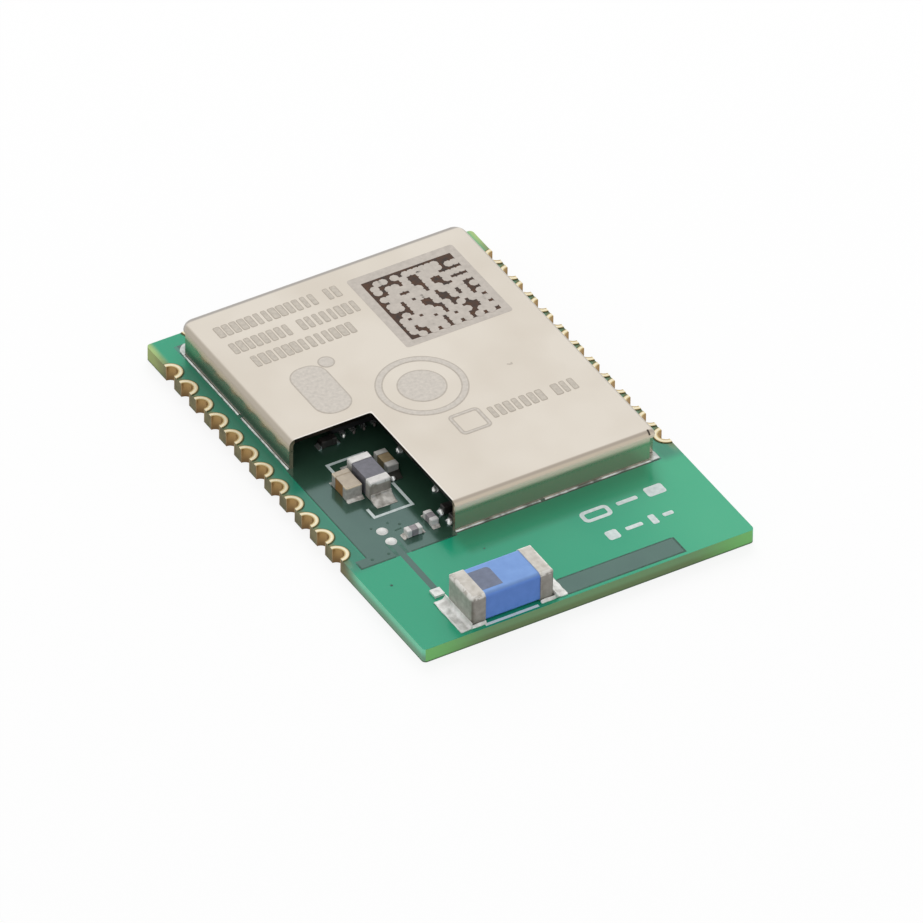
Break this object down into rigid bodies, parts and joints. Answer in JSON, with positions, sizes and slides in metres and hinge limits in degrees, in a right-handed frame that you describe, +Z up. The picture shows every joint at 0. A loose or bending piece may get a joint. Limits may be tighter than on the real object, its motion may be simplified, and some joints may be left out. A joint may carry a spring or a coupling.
{
  "type": "short-range radio module",
  "caption": "Castellated radio module board with a folded metal shield can, a ceramic chip antenna at the front edge and matching parts in the can's open corner.",
  "frame": {"origin": "middle of the underside of the board", "axes": "+X across the board from the window side to the far side, +Y from the antenna edge to the back edge, +Z up through the can"},
  "size_m": [0.0128, 0.0186, 0.0018],
  "materials": {
    "board": "glossy green solder mask over glass laminate, bare laminate at the edges",
    "gold_pad": "thin gold plating, satin",
    "masked_copper": "copper under glossy green solder mask",
    "can_sheet": "satin nickel-silver sheet with faint rolling lines",
    "solder": "bright reflowed solder",
    "antenna_ceramic": "blue glazed ceramic",
    "plated_end": "matte tin plating",
    "inductor_ceramic": "violet-grey ceramic",
    "tan_ceramic": "tan ceramic",
    "brown_ceramic": "brown ceramic",
    "filter_ceramic": "white ceramic",
    "choke_ferrite": "dark grey ferrite",
    "crystal_ceramic": "dark brown ceramic",
    "crystal_lid": "gold plated lid",
    "chip_resin": "moulded black resin"
  },
  "bodies": {
    "root": {"circuit_board": "board", "left_edge_pads": "gold_pad", "right_edge_pads": "gold_pad", "back_edge_pads": "gold_pad", "ground_copper": "masked_copper", "feed_trace": "masked_copper", "antenna_tail": "masked_copper", "shield_can": "can_sheet", "shield_solder": "solder", "antenna_body": "antenna_ceramic", "antenna_terminals": "plated_end", "antenna_solder": "solder", "matching_inductor_body": "inductor_ceramic", "matching_inductor_terminals": "plated_end", "left_capacitor_body": "tan_ceramic", "left_capacitor_terminals": "plated_end", "right_capacitor_body": "brown_ceramic", "right_capacitor_terminals": "plated_end", "tuning_part_bodies": "inductor_ceramic", "tuning_part_terminals": "plated_end", "window_solder": "solder", "test_pads": "solder", "radio_chip": "chip_resin", "radio_chip_joints": "solder", "crystal_base": "crystal_ceramic", "crystal_lid": "crystal_lid", "crystal_joints": "solder", "memory_chip": "chip_resin", "memory_chip_joints": "solder", "band_filter": "filter_ceramic", "band_filter_terminals": "plated_end", "choke_bodies": "choke_ferrite", "choke_terminals": "plated_end", "bypass_capacitor_bodies": "tan_ceramic", "bypass_capacitor_terminals": "plated_end", "edge_part_bodies": "brown_ceramic", "edge_part_terminals": "plated_end", "inner_solder": "solder"}
  },
  "joints": []
}
